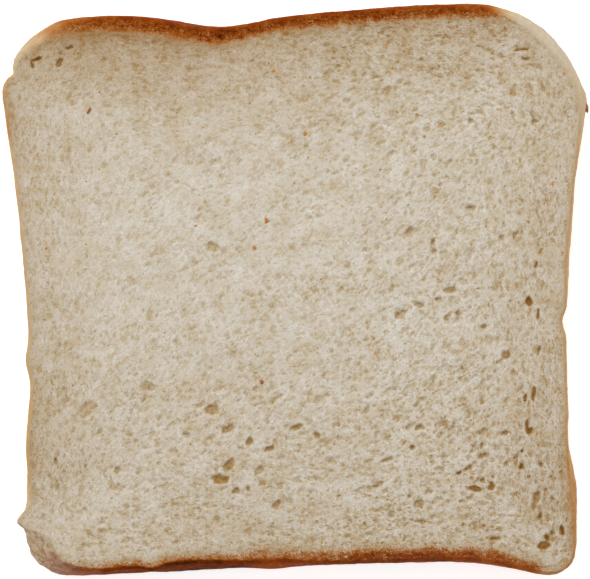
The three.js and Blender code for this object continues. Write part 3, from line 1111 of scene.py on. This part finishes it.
@dataclass
class Slice:
    """The slice itself: crumb and crust in one closed skin. Sizes are in millimetres."""

    voxel: float = 0.31  # spacing of the skin's points before it is thinned
    face_share: float = 0.78  # of the triangles, for the upper cut face
    most_faces: int = 194_000
    sag: float = 0.2  # how far the crumb has sunk below its crust
    crust_relief: float = 0.22  # of the lumps in the crust's outside
    wrinkle: float = 0.75  # of the floury crust
    rim_ragged: float = 0.5  # of the torn edge between crust and cut face
    joined: float = 0.002  # points of the solid nearer than this are one
    kept_depth: float = 1.4  # how deep below the upper face its points are all kept
    # Where something starts and where it is whole: the skin of a cut face, by depth below the face and by
    # distance in from the outline, then the open cells and the sag, by distance in from the outline.
    face_depth: tuple[float, float] = (0.45, 0.1)
    face_edge: tuple[float, float] = (-0.15, 0.25)
    cells_from: tuple[float, float] = (0.2, 1.4)
    sag_from: tuple[float, float] = (1.0, 7.0)
    # Height and size of lumps: in the crumb, large and small, then in the crust, large and small.
    crumb_lumps: tuple[tuple[float, float], ...] = ((0.5, 9.0), (0.1, 0.9))
    crust_lumps: tuple[tuple[float, float], ...] = ((1.0, 5.0), (0.6, 1.4))
    fold: tuple[float, float, float] = (2.6, 2.6, 1.5)  # size of the floury crust's wrinkles
    crust: Crust = field(default_factory=Crust)
    stretch: Stretch = field(default_factory=Stretch)

    def build(self) -> bpy.types.Object:
        """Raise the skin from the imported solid, press the crumb into it and bake its crust.

        Returns:
            The finished piece.
        """
        piece = self.copy_of_solid()
        mesh = piece.data
        self.survey(mesh)
        self.refine(piece)
        self.shape(mesh)
        self.thin(piece)
        mesh.transform(Matrix.Scale(MM, 4))
        mesh.shade_smooth()
        mesh.materials.clear()
        mesh.materials.append(BakedBread().build())
        LOG.info("%s: %d faces", piece.name, len(mesh.polygons))
        return piece

    def survey(self, mesh: bpy.types.Mesh) -> None:
        """Measure the solid and draw the maps of its two cut faces.

        Args:
            mesh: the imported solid's mesh, in millimetres.
        """
        places = Skin.of_mesh(mesh, 0.0).places
        self.thickness = float(places[:, 2].max())
        self.grids = {}
        for upper, height in ((True, self.thickness), (False, 0.0)):
            outline = Outline.of_face(places, height)
            plan = CutPlan(outline, self.crust, self.stretch).grid()
            large = LARGE_CELLS if upper else self.other_cut()
            self.grids[upper] = (plan, CrumbFace(outline, plan, 11 if upper else 47, large).maps())

    def copy_of_solid(self) -> bpy.types.Object:
        """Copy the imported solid, in millimetres, with its loose triangles joined.

        Returns:
            The copy.
        """
        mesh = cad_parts[NODE].data.copy()
        mesh.name = "sliced_bread"
        mesh.transform(Matrix.Scale(1 / MM, 4))
        piece = bpy.data.objects.new("sliced_bread", mesh)
        bpy.context.collection.objects.link(piece)
        bpy.ops.object.select_all(action="DESELECT")
        piece.select_set(True)
        bpy.context.view_layer.objects.active = piece
        bpy.ops.object.mode_set(mode="EDIT")
        bpy.ops.mesh.select_all(action="SELECT")
        bpy.ops.mesh.remove_doubles(threshold=self.joined)
        bpy.ops.object.mode_set(mode="OBJECT")
        return piece

    def refine(self, piece: bpy.types.Object) -> None:
        """Give the skin evenly spaced points.

        Args:
            piece: the slice, as the active object.
        """
        even = piece.modifiers.new("even skin", "REMESH")
        even.mode = "VOXEL"
        even.voxel_size = self.voxel
        bpy.ops.object.modifier_apply(modifier=even.name)

    def thin(self, piece: bpy.types.Object) -> None:
        """Take out the points that the shape doesn't need, first away from the upper cut face.

        Args:
            piece: the slice, as the active object.
        """
        triangles = sum(len(face.vertices) - 2 for face in piece.data.polygons)
        heights = Skin.of_mesh(piece.data, 0.0).places[:, 2]
        low = np.flatnonzero(heights < self.thickness - self.kept_depth)
        group = piece.vertex_groups.new(name="away from the upper face")
        group.add(low.tolist(), 1.0, "REPLACE")
        upper = triangles * (1.0 - len(low) / len(piece.data.vertices))
        first = (upper + (1.0 - self.face_share) * self.most_faces) / triangles
        for ratio, name in ((first, group.name), (self.most_faces / (first * triangles), "")):
            fewer = piece.modifiers.new("thinned skin", "DECIMATE")
            fewer.ratio = min(1.0, ratio)
            fewer.vertex_group = name
            bpy.ops.object.modifier_apply(modifier=fewer.name)
        piece.vertex_groups.clear()

    def shape(self, mesh: bpy.types.Mesh) -> None:
        """Move every point of the skin and write its marks.

        Args:
            mesh: the even skin, in millimetres.
        """
        skin = Skin.of_mesh(mesh, self.thickness / 2)
        for upper, grids in self.grids.items():
            for grid in grids:
                skin.learn(upper, grid)
        places, know = skin.places, skin.known
        inwards = know["inwards"]
        from_face = np.where(skin.upper, self.thickness - places[:, 2], places[:, 2])
        on_face = smooth_step(*self.face_depth, from_face) * smooth_step(*self.face_edge, inwards)
        off_face = 1.0 - on_face
        whole = on_face * smooth_step(*self.cells_from, inwards)

        # The crumb of each cut face.
        lumps = Noise(5)
        sink = know["depth"] * whole + self.sag * on_face * smooth_step(*self.sag_from, inwards)
        uneven = sum(height * lumps.fractal(places, size, 2) for height, size in self.crumb_lumps)
        sink += on_face * (uneven + self.crumb_lumps[-1][0])  # the small lumps stay below the cut
        moved = places.copy()
        moved[:, 2] += np.where(skin.upper, -1.0, 1.0) * np.clip(sink, 0.0, None)

        # The outside of the crust: slow swells, small lumps, and wrinkles where it is floury.
        noise = Noise(6)
        (large, large_size), (small, small_size) = self.crust_lumps
        swell = large * noise.fractal(places, large_size, 2)
        swell += small * noise.fractal(places + 40.0, small_size, 2)
        folds = 1.0 - 4.0 * np.abs(noise.at(places + 17.0, self.fold) - 0.5)
        near_rim = np.exp(-((inwards + 0.2) ** 2) / 0.6) * smooth_step(1.2, 0.3, from_face)
        tear = noise.fractal(places + 90.0, 1.0, 3)
        push = self.crust_relief * swell * off_face
        push += self.wrinkle * 0.5 * folds * know["flour"] * off_face
        push += self.rim_ragged * tear * near_rim * smooth_step(0.0, 0.6, 1.0 - know["flour"])
        outward = skin.normals.copy()
        outward[:, 2] *= 0.2
        moved += outward * push[:, None]
        mesh.vertices.foreach_set("co", moved.ravel())

        # What the material reads.
        depth = np.clip(inwards, 0.0, None)
        ragged = depth + 0.7 * noise.fractal(places + 60.0, 1.6, 3)
        rim = know["rim"] * np.exp(-((np.clip(ragged, 0.0, None) / know["bake"]) ** 3))
        # The crumb's tan near the crust and in patches: partly the oven's tint and its own tone, partly
        # painted shade that darkens it towards the edges.
        tan_and_edge_shade = know["tan_and_edge_shade"] * np.exp(-((depth / know["reach"]) ** 1.4)) + know["shade"]
        turns = np.angle(know["flow_x"] + 1j * know["flow_y"]) / 2
        for mark, values in (
            (Mark.TOAST, on_face * rim + off_face * know["wall"]),
            # Painted shade in the open cells, darker for deeper cells, and a painted highlight on the walls
            # round them.
            (Mark.CELL_SHADE, know["cell_shade"] * whole),
            (Mark.CELL_HIGHLIGHT, know["cell_highlight"] * whole),
            (Mark.WALL, off_face),
            (Mark.TAN_AND_EDGE_SHADE, tan_and_edge_shade),
            (Mark.FLOUR, know["flour"]),
            (Mark.OPEN, CrumbFace.openness(places)),
            (Mark.LIE, self.stretch.shares(turns, Noise(8).fractal(places, 4.0, 2))),
        ):
            kind, name = ("FLOAT_VECTOR", "vector") if values.ndim == 2 else ("FLOAT", "value")
            layer = mesh.attributes.new(mark.value, kind, "POINT")
            layer.data.foreach_set(name, values.astype(np.float32).ravel())
        mesh.update()

    @staticmethod
    def other_cut() -> tuple[OpenCell, ...]:
        """Place the large cells of the lower face, which is another cut through the same kind of crumb.

        Returns:
            The large cells.
        """
        return tuple(
            OpenCell(-c.x * 0.93, 2.0 - c.y * 0.94, c.length, c.width, c.turn, min(c.depth, 1.4))
            for c in LARGE_CELLS[::2]
        )


@dataclass(frozen=True)
class Grain:
    """One broken bit: where it lies and how large it is, in millimetres and degrees."""

    x: float
    y: float
    length: float
    width: float
    turn: float


@dataclass
class BrokenBits:
    """Bits of crust that cling to the slice, each pressed a little way into it."""

    name: str
    finish: BrokenCrust
    grains: tuple[Grain, ...]
    flatness: float = 0.7  # of a bit's height, as a share of its width
    roughness: float = 0.22  # how far a bit's surface strays from an egg's
    tilt: float = 0.4  # how far a bit may lean, in radians
    seed: int = 3

    def build(self, surface: bpy.types.Object) -> bpy.types.Object:
        """Press every bit into the slice.

        Args:
            surface: the slice.

        Returns:
            The bits as one piece.
        """
        rng = np.random.default_rng(self.seed)
        side = Vector((0.0, 0.0, 12 * MM))  # a bit that misses the slice from above is put on its crust
        made = []
        for grain in self.grains:
            above = Vector((grain.x * MM, grain.y * MM, 1.0))
            hit, point, _, _ = surface.ray_cast(above, Vector((0.0, 0.0, -1.0)))
            if not hit:
                _, point, _, _ = surface.closest_point_on_mesh(above.xy.to_3d() + side)
            bpy.ops.object.select_all(action="DESELECT")
            bpy.ops.mesh.primitive_ico_sphere_add(subdivisions=2, radius=0.5)
            bit = bpy.context.object
            for vertex in bit.data.vertices:
                vertex.co *= 1.0 + rng.uniform(-self.roughness, self.roughness)
            turn = Matrix.Rotation(math.radians(grain.turn), 4, "Z") @ Matrix.Rotation(
                rng.uniform(-self.tilt, self.tilt), 4, "X"
            )
            size = Matrix.Diagonal((grain.length, grain.width, self.flatness * grain.width, 1 / MM)) * MM
            bit.data.transform(Matrix.Translation(point) @ turn @ size)
            made.append(bit)
        bpy.ops.object.select_all(action="DESELECT")
        for bit in made:
            bit.select_set(True)
        bpy.context.view_layer.objects.active = made[0]
        bpy.ops.object.join()
        piece = bpy.context.object
        piece.name = piece.data.name = self.name
        piece.location = (0.0, 0.0, 0.0)
        piece.data.shade_smooth()
        piece.data.materials.clear()
        piece.data.materials.append(self.finish.build())
        LOG.info("%s: %d bits", self.name, len(made))
        return piece


TOASTED = tuple(
    Grain(*row)
    for row in (
        (2.0, 31.1, 1.2, 0.8, 110), (-5.7, 13.8, 1.2, 0.7, 100), (-8.1, 8.4, 0.8, 0.5, 130),
        (-19.8, 12.7, 0.6, 0.4, 0), (15.7, -9.7, 0.6, 0.5, 0), (-4.3, 43.6, 0.9, 0.6, 70),
        (18.2, 48.4, 1.0, 0.4, 90), (-9.0, 37.2, 0.6, 0.4, 60), (17.0, 23.9, 0.6, 0.4, 20),
        (53.6, 42.9, 0.6, 0.4, 80), (51.3, 21.2, 0.9, 0.6, 80), (25.8, 30.4, 0.7, 0.5, 80),
        (19.4, 44.1, 0.5, 0.5, 0), (-39.0, 39.3, 0.5, 0.4, 0), (-50.0, -6.0, 0.5, 0.4, 60),
        (-49.6, 8.2, 0.6, 0.4, 90), (-48.0, 19.0, 0.5, 0.35, 80),
    )
)

DARK_TOASTED = tuple(
    Grain(*row)
    for row in (
        (-6.7, -18.4, 1.0, 0.8, 120), (-41.0, 35.6, 1.4, 0.7, 60), (58.3, 36.6, 2.6, 0.9, 105),
        (-35.6, 31.0, 0.4, 0.3, 0), (22.6, 16.9, 0.4, 0.3, 0),
    )
)


# ---------------------------------------------------------------------------------------------------------
# The table, the lights and the camera
# ---------------------------------------------------------------------------------------------------------


@dataclass
class Studio:
    """A pale light table, soft light from above the crown, and a camera looking straight down."""

    view_width: float = 0.118  # of the picture at the camera's aim, in metres
    lens: float = 300.0
    sensor: float = 36.0
    sky: float = 0.66  # how much of the light is even and comes from all round
    key: float = 0.4  # how much comes from the one large lamp
    glow: float = 0.56  # how brightly the table glows, which keeps shadows on it faint
    key_distance: float = 1.0
    key_height: float = math.radians(55.0)  # of the lamp above the table
    key_side: float = math.radians(108.0)  # of the lamp, turned from the slice's right
    key_size: float = 0.4
    table_side: float = 8.0

    def build(self, middle: Vector) -> None:
        """Set the whole stage.

        Args:
            middle: the point that the camera and the lamp look at.
        """
        self.table()
        self.lamp(middle)
        self.camera(middle)

    def table(self) -> None:
        """Lay a matt white light table under the slice."""
        bpy.ops.object.select_all(action="DESELECT")
        bpy.ops.mesh.primitive_plane_add(size=self.table_side)
        floor = bpy.context.object
        floor.name = "pale_table"
        material = bpy.data.materials.new("matt white acrylic")
        material.use_nodes = True
        tree = material.node_tree
        tree.nodes.clear()
        shader = add_node(
            tree,
            "BsdfPrincipled",
            {
                "Base Color": linear("#F6F6F5"),
                "Roughness": 0.9,
                "Specular IOR Level": 0.1,
                "Emission Color": (1.0, 1.0, 1.0, 1.0),
                "Emission Strength": self.glow,
            },
        )
        add_node(tree, "OutputMaterial", {"Surface": shader})
        floor.data.materials.append(material)

    def lamp(self, middle: Vector) -> None:
        """Light the slice evenly from all round, and from one side by a large lamp.

        Args:
            middle: the point that the lamp faces.
        """
        world = bpy.data.worlds.new("even light")
        world.use_nodes = True
        world.node_tree.nodes.clear()
        sky = add_node(world.node_tree, "Background", {"Color": (1, 1, 1, 1), "Strength": self.sky})
        add_node(world.node_tree, "OutputWorld", {"Surface": sky})
        bpy.context.scene.world = world
        flat = math.cos(self.key_height)
        away = Vector(
            (flat * math.cos(self.key_side), flat * math.sin(self.key_side), math.sin(self.key_height))
        )
        lamp = bpy.data.lights.new("key", "AREA")
        lamp.shape = "DISK"
        lamp.size = self.key_size
        # Under this lamp alone, a level white sheet would look as bright as key says.
        lamp.energy = self.key * math.pi**2 * self.key_distance**2 / away.z
        holder = bpy.data.objects.new("key", lamp)
        holder.location = middle + self.key_distance * away
        holder.rotation_euler = away.to_track_quat("Z", "Y").to_euler()
        bpy.context.collection.objects.link(holder)

    def camera(self, middle: Vector) -> None:
        """Hang the camera straight above the slice, with the crown at the top of the picture.

        Args:
            middle: the point in the middle of the picture.
        """
        eye = bpy.data.cameras.new("overhead")
        eye.lens = self.lens
        eye.sensor_width = self.sensor
        holder = bpy.data.objects.new("overhead", eye)
        holder.location = middle + Vector((0.0, 0.0, self.lens * self.view_width / self.sensor))
        bpy.context.collection.objects.link(holder)
        bpy.context.scene.camera = holder
        bpy.context.scene.view_settings.view_transform = "Standard"


def main() -> None:
    """Build the slice, the bits on it and the stage, in that order."""
    logging.basicConfig(level=logging.INFO, format="%(name)s %(message)s")
    bread = Slice().build()
    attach(bread, BODY)
    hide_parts(NODE)
    for name, light, dark, grains in (
        ("toasted_crumbs", "#D48E3A", "#B26C22", TOASTED),
        ("dark_toasted_crumbs", "#B87342", "#814922", DARK_TOASTED),
    ):
        piece = BrokenBits(name, BrokenCrust(name.replace("_", " "), light, dark), grains).build(bread)
        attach(piece, BODY)
    low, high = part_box(NODE)
    Studio().build(Vector(((low[0] + high[0]) / 2, (low[1] + high[1]) / 2, AIM * high[2])))


if __name__ == "__main__":
    main()
